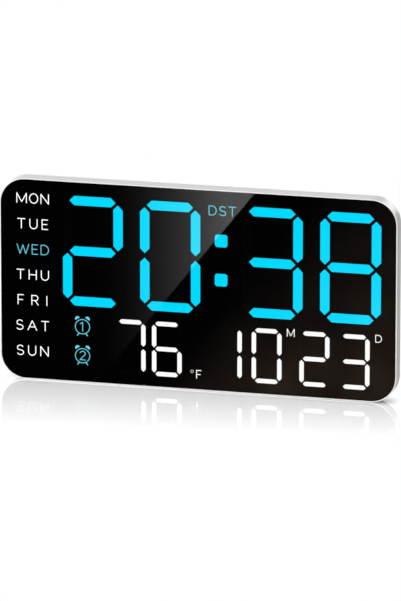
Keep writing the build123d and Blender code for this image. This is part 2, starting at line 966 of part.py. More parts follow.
for name, bars in digits.items():
    pieces[name] = make_digit(bars)
for name, place in zip(button_names, button_places):
    pieces[name] = make_button(place[0], place[1])
    pieces[name.replace("button", "plunger")] = make_plunger(place[0], place[1])

os.makedirs("parts", exist_ok=True)
for name, piece in pieces.items():
    found = piece if isinstance(piece, list) else solids_of(piece)
    shape = found[0] if len(found) == 1 else Compound(children=found)
    export_step(shape, f"parts/{name}.step")
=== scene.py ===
# %% [markdown]
# # A digital wall clock with lit digits
# The clock is a wide flat case of white plastic with a sheet of smoked plastic in front. Behind
# that sheet a black film has windows, and lit resin bars and lit words show through them. The
# solid model gives the case, the back and every moving piece. This lesson adds what the eye
# sees: lit and unlit bars, words, the sheet's black edge, screw heads, finishes, light and view.

# %% Load the solid model
import json
import math

import bmesh
import bpy
import numpy as np
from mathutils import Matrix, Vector


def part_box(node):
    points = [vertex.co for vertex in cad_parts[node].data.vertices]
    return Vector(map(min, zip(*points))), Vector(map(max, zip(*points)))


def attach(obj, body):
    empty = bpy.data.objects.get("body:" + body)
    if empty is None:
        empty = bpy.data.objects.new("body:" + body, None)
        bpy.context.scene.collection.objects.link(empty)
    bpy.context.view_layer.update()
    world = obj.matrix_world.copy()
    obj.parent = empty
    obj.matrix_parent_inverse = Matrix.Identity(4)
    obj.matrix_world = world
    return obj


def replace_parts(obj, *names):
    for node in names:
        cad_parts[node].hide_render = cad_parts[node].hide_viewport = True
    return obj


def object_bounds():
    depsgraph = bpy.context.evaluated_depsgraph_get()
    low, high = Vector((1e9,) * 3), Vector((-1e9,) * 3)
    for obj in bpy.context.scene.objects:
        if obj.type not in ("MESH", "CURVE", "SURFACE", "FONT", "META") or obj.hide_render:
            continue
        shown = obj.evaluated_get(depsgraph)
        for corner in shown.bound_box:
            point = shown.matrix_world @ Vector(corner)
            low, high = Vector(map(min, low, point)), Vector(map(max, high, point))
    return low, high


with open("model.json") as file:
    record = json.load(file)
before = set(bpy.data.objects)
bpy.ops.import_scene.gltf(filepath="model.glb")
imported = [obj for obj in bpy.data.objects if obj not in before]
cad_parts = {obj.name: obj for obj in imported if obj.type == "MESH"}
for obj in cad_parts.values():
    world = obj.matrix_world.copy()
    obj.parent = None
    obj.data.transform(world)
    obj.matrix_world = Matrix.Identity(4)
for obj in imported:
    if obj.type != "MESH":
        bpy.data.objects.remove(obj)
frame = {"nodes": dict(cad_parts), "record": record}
solid_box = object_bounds()
mm = 0.001
print("solid model", [round(v / mm, 2) for v in solid_box[1] - solid_box[0]], "mm")

# %% [markdown]
# ## Where the camera stands
# The photograph looks at the clock from its right and from above, through a long lens, because
# its far edges hardly converge. The angles come from the case's outline: a camera was moved
# until the corners of a 325 by 166 mm case fell on those in the photograph. A far camera with
# a long lens is used, and not a wide one close by, which would make the right end too large.

# %% Camera
view_turn, view_rise = math.radians(14.05), math.radians(15.14)
view_distance, lens_length, sensor_height = 5.5, 414.85, 36.0
towards_camera = Vector((
    math.sin(view_turn) * math.cos(view_rise),
    -math.cos(view_turn) * math.cos(view_rise),
    math.sin(view_rise),
))
front_y = solid_box[0][1]
aim = Vector((2.75 * mm, front_y, 74.54 * mm))
camera = bpy.data.objects.new("camera", bpy.data.cameras.new("camera"))
bpy.context.scene.collection.objects.link(camera)
camera.data.sensor_fit = "VERTICAL"
camera.data.sensor_height = sensor_height
camera.data.lens = lens_length
camera.location = aim + view_distance * towards_camera
camera.rotation_euler = towards_camera.to_track_quat("Z", "Y").to_euler()
bpy.context.scene.camera = camera
bpy.context.scene.view_settings.view_transform = "Standard"
print("camera at", [round(v, 3) for v in camera.location])

# %% [markdown]
# ## Colours and nodes
# Colours are written as sRGB hex values, as a paint program shows them. The renderer works with
# linear light, so one function converts them. Another adds a node, sets its plain values and
# joins its inputs, so that each finish below reads as a short list.

# %% Hex colours and nodes
def linear(hex_colour):
    """sRGB to linear light: a small value over 12.92, else (v + 0.055) / 1.055 to the power 2.4."""
    srgb = np.array([int(hex_colour[i:i + 2], 16) for i in (1, 3, 5)]) / 255
    light = np.where(srgb <= 0.04045, srgb / 12.92, ((srgb + 0.055) / 1.055) ** 2.4)
    return (*light.tolist(), 1.0)


def add_node(tree, kind, settings=None, links=None):
    """Adds a node, sets its values by name, and joins the named inputs to other nodes' outputs."""
    node = tree.nodes.new(kind)
    for name, value in (settings or {}).items():
        if name in node.inputs:
            node.inputs[name].default_value = value
        else:
            setattr(node, name, value)
    for name, source in (links or {}).items():
        tree.links.new(source, node.inputs[name])
    return node


def start_finish(name, settings):
    """A material with one Principled shader, plain values on its sockets, and Object coordinates."""
    finish = bpy.data.materials.new(name)
    finish.use_nodes = True
    tree = finish.node_tree
    tree.nodes.clear()
    shader = add_node(tree, "ShaderNodeBsdfPrincipled", settings)
    add_node(tree, "ShaderNodeOutputMaterial", links={"Surface": shader.outputs["BSDF"]})
    place = add_node(tree, "ShaderNodeTexCoord").outputs["Object"]
    return finish, tree, shader, place


print("white of the case in linear light", [round(v, 3) for v in linear("#ECECEA")[:3]])

# %% [markdown]
# ## Moulded plastics
# Most of the clock is injection moulded, and a moulding copies its steel mould. The rim comes
# from a polished mould: smooth, with a faint orange peel of one or two millimetres. The back
# comes from a spark-eroded mould, whose pits of about half a millimetre make it dull. One
# recipe serves both: a noise of the grain's real size moves the colour, the roughness and the
# height together. The heights are drawn a little deeper than real ones, so that they show.

# %% A finish with one grain
def vary(tree, shader, amount, colours, sheen):
    """Moves the colour between two hex values, and the roughness between two numbers, by one amount."""
    colour = add_node(
        tree, "ShaderNodeMixRGB",
        {"Color1": linear(colours[0]), "Color2": linear(colours[1])}, {"Fac": amount},
    )
    rough = add_node(
        tree, "ShaderNodeMapRange", {"To Min": sheen[0], "To Max": sheen[1]}, {"Value": amount}
    )
    tree.links.new(colour.outputs["Color"], shader.inputs["Base Color"])
    tree.links.new(rough.outputs["Result"], shader.inputs["Roughness"])


def grained(name, colours, sheen, grain, height, settings):
    """Noise of the grain's size varies the colour and the roughness, and moves the surface by a bump
    of the given height."""
    finish, tree, shader, place = start_finish(name, settings)
    noise = add_node(
        tree, "ShaderNodeTexNoise", {"Scale": 1 / grain, "Detail": 2.0}, {"Vector": place}
    ).outputs["Fac"]
    vary(tree, shader, noise, colours, sheen)
    relief = add_node(tree, "ShaderNodeBump", {"Distance": height}, {"Height": noise})
    tree.links.new(relief.outputs["Normal"], shader.inputs["Normal"])
    return finish


abs_polished = grained(
    "abs_moulded_polished",
    ("#E9E9E7", "#EFEFED"), (0.28, 0.40), 1.6 * mm, 0.004 * mm, {"IOR": 1.54},
)
abs_eroded = grained(
    "abs_moulded_spark_eroded",
    ("#DDDDDA", "#ECECE9"), (0.45, 0.65), 0.6 * mm, 0.03 * mm, {"IOR": 1.54},
)
abs_grey = grained(
    "abs_moulded_grey",
    ("#808184", "#8C8D90"), (0.40, 0.55), 0.5 * mm, 0.02 * mm, {"IOR": 1.54},
)
light_box = grained(
    "polycarbonate_white",
    ("#E0E0DC", "#EAEAE6"), (0.40, 0.60), 0.8 * mm, 0.01 * mm, {"IOR": 1.58},
)
compound = grained(
    "epoxy_compound_moulded",
    ("#18181A", "#232326"), (0.45, 0.70), 0.3 * mm, 0.02 * mm, {"IOR": 1.55},
)
print("moulded finishes", [f.name for f in (abs_polished, abs_eroded, abs_grey, light_box, compound)])

# %% [markdown]
# ## Metals, boards and rubber
# Inside the case are plated steel screws and springs, an aluminium can, green boards and black
# rubber and tape. Rolled or drawn metal shows fine lines along one way, so its noise is squeezed
# across and stretched along. A board is glass cloth under green lacquer, and the weave of about
# 0.6 mm shows through as a faint check. Rubber and foam are dull and finely pitted.

# %% Steel, aluminium, board, rubber, tape and lamps
def drawn_metal(name, colours, sheen, line):
    """A metal whose noise is eight times longer than wide, so that it shows lines of that width."""
    finish, tree, shader, place = start_finish(name, {"Metallic": 1.0})
    long_way = add_node(tree, "ShaderNodeMapping", {"Scale": (0.125, 1.0, 1.0)}, {"Vector": place})
    noise = add_node(
        tree, "ShaderNodeTexNoise", {"Scale": 1 / line, "Detail": 3.0},
        {"Vector": long_way.outputs["Vector"]},
    ).outputs["Fac"]
    vary(tree, shader, noise, colours, sheen)
    return finish


steel = drawn_metal("steel_nickel_plated", ("#B9B8B3", "#D2D1CC"), (0.20, 0.36), 0.25 * mm)
aluminium = drawn_metal("aluminium_drawn", ("#C4C5C8", "#DCDDDF"), (0.25, 0.40), 0.3 * mm)
rubber = grained(
    "rubber_nitrile_moulded",
    ("#151516", "#202022"), (0.70, 0.85), 0.5 * mm, 0.03 * mm, {"IOR": 1.52},
)
foam_tape = grained(
    "tape_black_foam",
    ("#0B0B0C", "#131314"), (0.80, 0.95), 0.4 * mm, 0.03 * mm, {"IOR": 1.45},
)
lamp_resin = grained(
    "lamp_silicone_yellow",
    ("#D9C66A", "#EBDD95"), (0.20, 0.35), 0.5 * mm, 0.01 * mm, {"IOR": 1.45},
)
board, tree, shader, place = start_finish("board_green_lacquer", {"IOR": 1.52, "Roughness": 0.32})
weave = add_node(
    tree, "ShaderNodeTexChecker",
    {"Scale": 1 / (0.6 * mm), "Color1": linear("#0F4A2C"), "Color2": linear("#125433")},
    {"Vector": place},
)
tree.links.new(weave.outputs["Color"], shader.inputs["Base Color"])
print("other finishes", [f.name for f in (steel, aluminium, rubber, foam_tape, lamp_resin, board)])

# %% [markdown]
# ## The smoked sheet and the film behind it
# The front is a polished sheet of smoked acrylic, 2 mm thick: it takes away part of the light
# of the digits and mirrors the room a little. A see-through shader with refraction would be
# the exact way, but it is noisy and few viewers show it, so the sheet is black with a plain
# Alpha. Alpha thins the gloss too, so a full specular level and a clear coat bring it back. The
# film's ink touches the sheet's back without a mirror of its own, so its specular level is
# zero and it is almost perfectly black.

# %% Smoked acrylic and window ink
sheet_alpha = 0.2
acrylic, tree, shader, place = start_finish(
    "acrylic_smoked_polished",
    {
        "Base Color": linear("#020203"), "IOR": 1.49, "Alpha": sheet_alpha, "Specular IOR Level": 1.0,
        "Coat Weight": 1.0, "Coat IOR": 1.49, "Coat Roughness": 0.012,
    },
)
smear = add_node(tree, "ShaderNodeTexNoise", {"Scale": 1 / (30 * mm)}, {"Vector": place})
polish = add_node(
    tree, "ShaderNodeMapRange", {"To Min": 0.008, "To Max": 0.018}, {"Value": smear.outputs["Fac"]}
)
tree.links.new(polish.outputs["Result"], shader.inputs["Roughness"])
ink = grained(
    "ink_black_screen_printed", ("#020203", "#030304"), (0.80, 0.95), 0.3 * mm, 0.002 * mm,
    {"Specular IOR Level": 0.0},
)
light_needed = 1 / (1 - sheet_alpha) ** 2
print("the sheet's two faces let", round(1 / light_needed, 2), "of the light through")

# %% [markdown]
# ## Lit resin and lit windows
# Each bar of a digit is a block of milky or cyan resin over its own small lamps, so it glows
# evenly from edge to edge. The words are windows in the film over the same kind of lamps. Both
# are shaders with their own light, made stronger by what the two faces of the sheet take away.
# A bar that is off is the same resin without light: almost black behind the smoked sheet. The same
# dark resin also rims each lit bar as painted shade.

# %% Lit finishes
def lit(name, glow, body, strength):
    """A resin that gives light of one colour, with a fine grain in its sheen and body colour."""
    return grained(
        name, body, (0.30, 0.45), 0.7 * mm, 0.004 * mm,
        {
            "Emission Color": linear(glow), "Emission Strength": strength * light_needed,
            "Specular IOR Level": 0.0,
        },
    )


cyan_resin = lit("resin_cyan_lit", "#00DAFF", ("#01181D", "#021E24"), 0.985)
white_resin = lit("resin_milky_lit", "#FFFFFE", ("#1C1D1E", "#242526"), 0.985)
white_window = lit("window_white_lit", "#FFFFFE", ("#1C1D1E", "#242526"), 1.45)
cyan_window = lit("window_cyan_lit", "#62C8DA", ("#0B1618", "#0F1B1E"), 1.15)
# This dark resin makes the bars that are off, and also the painted shade on the rim round each lit bar.
resin_for_off_bars_and_painted_rims = grained(
    "resin_milky_unlit_and_painted_shade", ("#040506", "#070809"), (0.35, 0.50), 0.7 * mm, 0.004 * mm,
    {"Specular IOR Level": 0.0},
)
print("lit finishes shine at", round(light_needed, 2))

# %% [markdown]
# ## A finish for every solid
# The record of the model names a finish for each node. Each one now gets its dressed finish in
# the slot that its object already has, so that no solid is moved or changed.

# %% Dress the solids
dressed = {
    "white_gloss_plastic": abs_polished, "white_satin_plastic": abs_eroded,
    "smoked_panel": acrylic, "black_film": ink, "black_tape": foam_tape,
    "reflector_plastic": light_box, "cyan_lens": cyan_resin, "white_lens": white_resin,
    "board_laminate": board, "lamp_body": lamp_resin, "black_moulding": compound,
    "plated_steel": steel, "can_aluminium": aluminium, "grey_key_plastic": abs_grey,
    "foot_rubber": rubber,
}
for entry in frame["record"]["subparts"]:
    for holder in frame["nodes"][entry["node"]].material_slots:
        holder.material = dressed[entry["material_slot"]]

# %% [markdown]
# ## Flat bars on the clock's face
# Bars of digits, strokes of letters and the bells of the alarm sign are all flat shapes that
# lie parallel to the face. Each could be a polygon that is pushed out, but one surface serves
# them all: a left edge, a right edge, and a section that runs from one to the other on the
# front and returns on the back. Where both edges meet in a point, the section closes to a line.

# %% Section loops and pieces
def strip_loops(left, right, front, back, crown=0.0, across=2):
    """Loops of points, one for each pair of edge points: a straight line from left to right at the
    front depth, then back at the back depth. The front recedes by crown times the squared distance
    from the middle line, so that a crowned bar is highest along its middle."""
    share = np.linspace(0.0, 1.0, across)[None, :, None]
    line = left[:, None, :] * (1 - share) + right[:, None, :] * share
    depth = np.broadcast_to(front + crown * (2 * share[..., 0] - 1) ** 2, line.shape[:2])
    ahead = np.stack([line[..., 0], depth, line[..., 1]], axis=-1)
    behind = ahead[:, ::-1].copy()
    behind[..., 1] = back
    return np.concatenate([ahead, behind], axis=1)


def add_loops(shell, loops, ring):
    """Joins neighbouring loops with four-sided faces. A ring also joins its last loop to its first.
    Points of this strip that coincide are merged, which closes its two ends."""
    count, size = loops.shape[:2]
    index = np.arange(count * size).reshape(count, size)
    index = np.vstack([index, index[:1]]) if ring else index
    onward = np.roll(index, -1, axis=1)
    faces = np.stack([index[:-1], onward[:-1], onward[1:], index[1:]], axis=-1).reshape(-1, 4)
    known = len(shell.verts)
    strip = bpy.data.meshes.new("strip")
    strip.from_pydata(loops.reshape(-1, 3).tolist(), [], faces.tolist())
    shell.from_mesh(strip)
    bpy.data.meshes.remove(strip)
    shell.verts.ensure_lookup_table()
    bmesh.ops.remove_doubles(shell, verts=shell.verts[known:], dist=1e-7)


def make_piece(name, strips, finish, smooth=False):
    """One piece from several strips of loops, with its faces outward, riding on the clock."""
    shell = bmesh.new()
    for loops, ring in strips:
        add_loops(shell, loops, ring)
    bmesh.ops.recalc_face_normals(shell, faces=shell.faces)
    mesh = bpy.data.meshes.new(name)
    shell.to_mesh(mesh)
    shell.free()
    mesh.polygons.foreach_set("use_smooth", [smooth] * len(mesh.polygons))
    mesh.materials.append(finish)
    piece = bpy.data.objects.new(name, mesh)
    bpy.context.scene.collection.objects.link(piece)
    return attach(piece, "clock")


film_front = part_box("mask_film")[0][1]
print("the film lies", round((film_front - front_y) / mm, 2), "mm behind the front")

# %% [markdown]
# ## The bars of the digits
# A digit has seven bars with 45 degree points. The solid model has plain blocks of resin for
# them. The dressed ones are cast: their front is crowned by a fifth of a millimetre. The wall of
# the light cell shades the sides of a bar, and that shade is painted: a bar that is on is a
# bright core on a bed of dark unlit resin that is a little larger. The sizes come from the solids,
# so that the bars stay where the windows of the film are. A numeral is a choice of bars, named A
# to G from the top round.

# %% Bars with points
bar_choice = {
    "0": "ABCDEF", "1": "BC", "2": "ABGED", "3": "ABGCD", "6": "AFGECD", "7": "ABC", "8": "ABCDEFG",
}


def bar_places(width, height, stroke, tip_gap):
    """Middle, length and turn of the bars A to G, about the middle of the digit. Their middle lines
    lie half a stroke inside its outline, and a tip stops short of a crossing by the tip gap."""
    reach, rise = (width - stroke) / 2, (height - stroke) / 2
    flat, tall = 2 * (reach - tip_gap), rise - 2 * tip_gap
    return {
        "A": (0, rise, flat, False), "B": (reach, rise / 2, tall, True),
        "C": (reach, -rise / 2, tall, True), "D": (0, -rise, flat, False),
        "E": (-reach, -rise / 2, tall, True), "F": (-reach, rise / 2, tall, True),
        "G": (0, 0, flat, False),
    }


def bar_edges(x, z, length, upright, stroke, tip_grow, side_grow):
    """Edges of a bar with points, whose tips and sides move outwards: half its width at a place is
    the distance to the nearer tip, and at most half the stroke."""
    half = length / 2 + tip_grow * math.sqrt(2)
    side = stroke / 2 + side_grow
    along = np.array([-half, side - half, 0.0, half - side, half])
    wide = np.minimum(half - np.abs(along), side)
    over, under = np.stack([along, wide], axis=1), np.stack([along, -wide], axis=1)
    if upright:
        over, under = over[:, ::-1], under[:, ::-1]
    return over + (x, z), under + (x, z)


print("numerals", ", ".join(bar_choice), "from seven bars")

# %% Bright cores and dark beds
# A lit core is drawn smaller than its window by the rim width, so the dark bed shows there as painted
# shade.
window_overlap, painted_shade_rim = 0.25 * mm, 0.2 * mm
core_depth, bar_crown = 0.4 * mm, 0.2 * mm


def core_and_bed(core, bed, front, back):
    """A bright core with a crowned front, and the dark bed behind it, whose rim round the core is
    painted shade.
    """
    middle = front + core_depth
    lit_loops = strip_loops(*core, front, middle, crown=bar_crown, across=9)
    return (lit_loops, False), (strip_loops(*bed, middle, back), False)


def make_digit(node, numeral, stroke, tip_gap, finish):
    """The lit cores of a numeral as one piece, and as another its dark bars together with the beds
    under the lit cores, whose rims are painted shade, in place of the solids.
    """
    low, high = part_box(node)
    middle = (low + high) / 2
    size = [v - 2 * window_overlap for v in (high[0] - low[0], high[2] - low[2])]
    cores, dark = [], []
    for name, (x, z, length, upright) in bar_places(*size, stroke, tip_gap).items():
        place = (middle[0] + x, middle[2] + z, length, upright, stroke)
        whole = bar_edges(*place, window_overlap, window_overlap)
        if name in bar_choice[numeral]:
            # A bar that is on: a core inset by the rim, on a dark bed that paints its shaded rim.
            core, bed = core_and_bed(bar_edges(*place, 0.0, -painted_shade_rim), whole, low[1], high[1])
            cores.append(core)
            dark.append(bed)
        else:
            dark.append((strip_loops(*whole, low[1], high[1], crown=bar_crown, across=9), False))
    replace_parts(make_piece(f"{node}_lit", cores, finish), node)
    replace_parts(make_piece(f"{node}_unlit_and_painted_shade", dark, resin_for_off_bars_and_painted_rims), node)
    return len(cores)


print("the sides of a lit core lie", round(painted_shade_rim / mm, 2), "mm inside its window")

# %% The time, the temperature and the date
readout = {
    "hour_tens": "2", "hour_units": "0", "minute_tens": "3", "minute_units": "8",
    "temperature_tens": "7", "temperature_units": "6", "month_tens": "1", "month_units": "0",
    "day_tens": "2", "day_units": "3",
}
time_stroke, time_tip_gap = 8.0 * mm, 1.85 * mm
date_stroke, date_tip_gap = 3.95 * mm, 1.04 * mm
for node, numeral in readout.items():
    if node.startswith(("hour", "minute")):
        count = make_digit(node, numeral, time_stroke, time_tip_gap, cyan_resin)
    else:
        count = make_digit(node, numeral, date_stroke, date_tip_gap, white_resin)
    print(node, "shows", numeral, "with", count, "bars")

# %% [markdown]
# ## The colon
# The two dots of the colon are squares with rounded corners. A square with a rounded corner is
# also a strip between two edges: its half height is full in the middle, and falls along a
# quarter circle near both ends. So the function for strips makes the dots too.

# %% Two dots
def dot_edges(x, z, half, corner):
    """Half height at a place: half - corner + the root of corner squared minus the squared distance
    past the start of the corner."""
    past = corner * np.sin(np.linspace(0.0, math.pi / 2, 7))
    across = np.concatenate([-(half - corner) - past[::-1], half - corner + past])
    into = np.maximum(np.abs(across) - (half - corner), 0.0)
    rise = half - corner + np.sqrt(np.maximum(corner ** 2 - into ** 2, 0.0))
    return np.stack([x + across, z + rise], axis=1), np.stack([x + across, z - rise], axis=1)


low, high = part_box("colon_dots")
dot_half, dot_corner = (high[0] - low[0]) / 2, 2.25 * mm
dot_x = (high[0] + low[0]) / 2
core_half = dot_half - window_overlap - painted_shade_rim
# As on the bars, each lit dot sits on a larger dark bed, whose rim round the dot is painted shade.
cores, beds = zip(*[
    core_and_bed(
        dot_edges(dot_x, z, core_half, dot_corner), dot_edges(dot_x, z, dot_half, dot_corner),
        low[1], high[1],
    )
    for z in (low[2] + dot_half, high[2] - dot_half)
])
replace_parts(make_piece("colon_lit", cores, cyan_resin), "colon_dots")
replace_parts(make_piece("colon_unlit_and_painted_shade", beds, resin_for_off_bars_and_painted_rims), "colon_dots")
print("colon of two dots", round(2 * core_half / mm, 2), "mm wide")

# %% [markdown]
# ## Letters drawn with one stroke width
# The words are set in a plain round-ended letter whose strokes are all equally thick, as a pen
# would draw them. A font file would do, but this letter is simple enough to write down: each
# letter is a few paths in a square from 0 to 1, straight runs or parts of an ellipse. A bar
# of the stroke's width then follows each path and ends in a half circle.

# %% Paths of the letters
def runs(*corners):
    """The straight runs between corners that follow each other."""
    return [np.array(pair, float) for pair in zip(corners[:-1], corners[1:])]


def arc(x, z, reach, rise, start, stop):
    """Part of an ellipse: middle plus reach times the cosine and rise times the sine of an angle that
    goes evenly from start to stop, in degrees."""
    angle = np.radians(np.linspace(start, stop, 3 + int(abs(stop - start) / 12)))
    return np.stack([x + reach * np.cos(angle), z + rise * np.sin(angle)], axis=1)


letters = {
    "A": runs((0, 0), (0.5, 1), (1, 0)) + runs((0.18, 0.33), (0.82, 0.33)),
    "D": runs((0, 0), (0, 1)) + [np.vstack([(0, 1), arc(0.40, 0.5, 0.60, 0.5, 90, -90), (0, 0)])],
    "E": runs((1, 1), (0, 1), (0, 0), (1, 0)) + runs((0, 0.52), (0.88, 0.52)),
    "F": runs((1, 1), (0, 1), (0, 0)) + runs((0, 0.49), (0.86, 0.49)),
    "H": runs((0, 0), (0, 1)) + runs((1, 0), (1, 1)) + runs((0, 0.5), (1, 0.5)),
    "I": runs((0.5, 0), (0.5, 1)),
    "M": runs((0, 0), (0, 1), (0.5, 0.1), (1, 1), (1, 0)),
    "N": runs((0, 0), (0, 1), (1, 0), (1, 1)),
    "O": [arc(0.5, 0.5, 0.5, 0.5, 0, 360)],
    "R": runs((0, 0), (0, 1)) + runs((0.52, 0.46), (1, 0))
    + [np.vstack([(0, 1), arc(0.55, 0.73, 0.40, 0.27, 90, -90), (0, 0.46)])],
    "S": [np.vstack([arc(0.5, 0.745, 0.45, 0.255, 28, 245), arc(0.5, 0.255, 0.5, 0.255, 65, -152)])],
    "T": runs((0, 1), (1, 1)) + runs((0.5, 1), (0.5, 0)),
    "U": [np.vstack([(0, 1), arc(0.5, 0.38, 0.5, 0.38, 180, 360), (1, 1)])],
    "W": runs((0, 1), (0.26, 0), (0.5, 0.92), (0.74, 0), (1, 1)),
}
print("letters drawn:", "".join(letters))

# %% [markdown]
# ## Strokes, words and where they stand
# A stroke has two edges, half a stroke to the left and right of its path. At an open end they
# come together along a quarter circle each, which gives the round end. The seven weekdays stand
# in a column with an even pitch, and each word is spread between two edges with equal gaps. All
# sizes are millimetres measured on the photograph after it was turned to a straight front view.

# %% Strokes with round ends
window_depth = 0.03 * mm


def stroke_edges(path, half):
    """Edges of a stroke: the path plus and minus half its width along the path's normal. Past an open
    end the width is half times the sine, and the step half times the cosine, of a quarter turn."""
    ring = np.allclose(path[0], path[-1])
    path = path[:-1] if ring else path
    onward = np.roll(path, -1, 0) - np.roll(path, 1, 0) if ring else np.gradient(path, axis=0)
    onward = onward / np.linalg.norm(onward, axis=1, keepdims=True)
    wide = np.full(len(path), half)
    if not ring:
        turn = np.linspace(0.0, math.pi / 2, 6)
        start = path[0] - half * np.cos(turn)[:, None] * onward[0]
        stop = path[-1] + half * np.cos(turn[::-1])[:, None] * onward[-1]
        path = np.vstack([start, path[1:-1], stop])
        onward = np.vstack([np.tile(onward[0], (6, 1)), onward[1:-1], np.tile(onward[-1], (6, 1))])
        wide = np.concatenate([half * np.sin(turn), wide[1:-1], half * np.sin(turn[::-1])])
    aside = wide[:, None] * np.stack([-onward[:, 1], onward[:, 0]], axis=1)
    return path + aside, path - aside, ring


def stroke_strip(path, stroke):
    """A stroke as a thin window on the front of the film. Path and stroke are in millimetres."""
    left, right, ring = stroke_edges(np.asarray(path, float) * mm, stroke * mm / 2)
    return strip_loops(left, right, film_front - window_depth, film_front), ring


print("a window stands", round(window_depth / mm, 2), "mm proud of the film")

# %% Words between two edges
letter_width = {
    "A": 7.8, "D": 6.8, "E": 5.2, "F": 5.1, "H": 6.5, "I": 1.0, "M": 8.5,
    "N": 6.8, "O": 7.3, "R": 5.9, "S": 5.9, "T": 6.5, "U": 6.6, "W": 10.4,
}
full_cap = 8.4


def word_strips(text, left, right, middle, cap, stroke):
    """Strips of a word between two edges: letter widths scale with the cap height, and the gaps
    between the letters share what is left. One letter alone takes the whole width."""
    wide = np.array([letter_width[c] for c in text]) * cap / full_cap
    wide = wide if len(text) > 1 else np.array([right - left])
    gap = (right - left - wide.sum()) / max(len(text) - 1, 1)
    starts = left + np.cumsum(wide + gap) - wide - gap
    strips = []
    for letter, start, width in zip(text, starts, wide):
        corner = np.array([start + stroke / 2, middle - cap / 2 + stroke / 2])
        size = np.array([width - stroke, cap - stroke])
        strips += [stroke_strip(corner + path * size, stroke) for path in letters[letter]]
    return strips


print("letters are", letter_width["I"], "to", letter_width["W"], "mm wide")

# %% The weekdays
weekday_edges = {
    "MON": (-148.9, -122.2), "TUE": (-148.3, -123.0), "WED": (-149.1, -122.4),
    "THU": (-149.2, -122.5), "FRI": (-148.5, -123.8), "SAT": (-149.8, -122.6),
    "SUN": (-149.5, -123.1),
}
weekday_top, weekday_pitch, weekday_stroke = 149.1, 20.97, 0.6
for row, (text, (left, right)) in enumerate(weekday_edges.items()):
    middle = weekday_top - row * weekday_pitch
    strips = word_strips(text, left, right, middle, full_cap, weekday_stroke)
    today = text == "WED"
    make_piece(
        f"weekday_{text.lower()}", strips, cyan_window if today else white_window,
    )
print(len(weekday_edges), "weekdays, each", full_cap, "mm tall")

# %% [markdown]
# ## The small signs
# Above the colon stand three letters for daylight saving time. Beside the small digits are a
# ring and an F for degrees, and the letters M and D for month and day. They are drawn with the
# same strokes, smaller. The ring is a stroke that follows a closed path. The table gives each
# sign's left and right edge, the height of its middle, its cap height and its stroke.

# %% Daylight saving, degrees, month and day
sign_places = {
    "DST": (8.9, 31.3, 148.4, 8.05, 0.66), "F": (-1.2, 3.05, 12.85, 7.1, 0.52),
    "M": (72.9, 79.05, 52.2, 6.65, 0.46), "D": (144.75, 149.95, 52.1, 6.2, 0.46),
}
sign_strips = {text: word_strips(text, *place) for text, place in sign_places.items()}
degree_ring, degree_stroke = arc(-4.67, 15.1, 1.1, 1.1, 0, 360), 0.19
degree = [stroke_strip(degree_ring, degree_stroke)] + sign_strips["F"]
make_piece("sign_dst", sign_strips["DST"], cyan_window)
make_piece("sign_degrees_f", degree, white_window)
make_piece("sign_month", sign_strips["M"], white_window)
make_piece("sign_day", sign_strips["D"], white_window)
print("four small signs")

# %% [markdown]
# ## The two alarm signs
# Each alarm has a small sign of a clock with two bells: a ring with a number in it, two short
# legs, and two filled domes at the upper corners. Ring, legs and number are strokes. A dome is
# a half disc, so it is a strip between its flat side and its round side, turned to lean outwards.

# %% Alarm clocks with the numbers 1 and 2
def dome_edges(x, z, radius, lean):
    """Flat side and round side of a half disc: along the flat side the height is the root of the
    radius squared minus the distance squared. Both are then turned by the lean, in degrees."""
    along = radius * np.sin(np.radians(np.linspace(-90, 90, 17)))
    height = np.sqrt(np.maximum(radius ** 2 - along ** 2, 0.0))
    turn = math.radians(lean)
    ahead = np.array([math.cos(turn), math.sin(turn)])
    up = np.array([-math.sin(turn), math.cos(turn)])
    flat = np.array([x, z]) + along[:, None] * ahead
    return flat, flat + height[:, None] * up


numbers = {
    "1": [np.array([(0.15, 3.75), (0.15, -3.75)]), np.array([(0.15, 3.75), (-1.75, 2.3)])],
    "2": [
        np.vstack([arc(0.05, 1.75, 2.15, 2.0, 165, -28), (-2.2, -3.4)]),
        np.array([(-2.2, -3.4), (2.3, -3.4)]),
    ],
}
ring_x, ring_radius, sign_stroke = -94.95, 5.95, 0.61
leg, leg_stroke = np.array([(2.95, -5.75), (4.15, -7.25)]), 0.82
bell_place, bell_radius, bell_lean = np.array([4.0, 6.4]), 2.1, 33
for number, ring_z in (("1", 45.9), ("2", 21.85)):
    middle = np.array([ring_x, ring_z])
    strips = [stroke_strip(arc(*middle, ring_radius, ring_radius, 0, 360), sign_stroke)]
    strips += [stroke_strip(middle + path, sign_stroke) for path in numbers[number]]
    for side in (-1, 1):
        strips.append(stroke_strip(middle + leg * (side, 1), leg_stroke))
        left, right = dome_edges(*(middle + bell_place * (side, 1)), bell_radius, -bell_lean * side)
        dome = strip_loops(left * mm, right * mm, film_front - window_depth, film_front)
        strips.append((dome, False))
    make_piece(f"sign_alarm_{number}", strips, cyan_window)
print("two alarm signs, rings", round(2 * ring_radius + sign_stroke, 2), "mm wide")

# %% [markdown]
# ## The black edge of the sheet
# Without care the white rim would show through the clear edge of the sheet as a pale line. The
# edge of a real sheet is blackened with ink, and so is a border on its back that reaches over
# the film. Both are one L-shaped section, carried round the case's outline: it fills the gap
# between sheet and rim and then turns in behind the sheet.

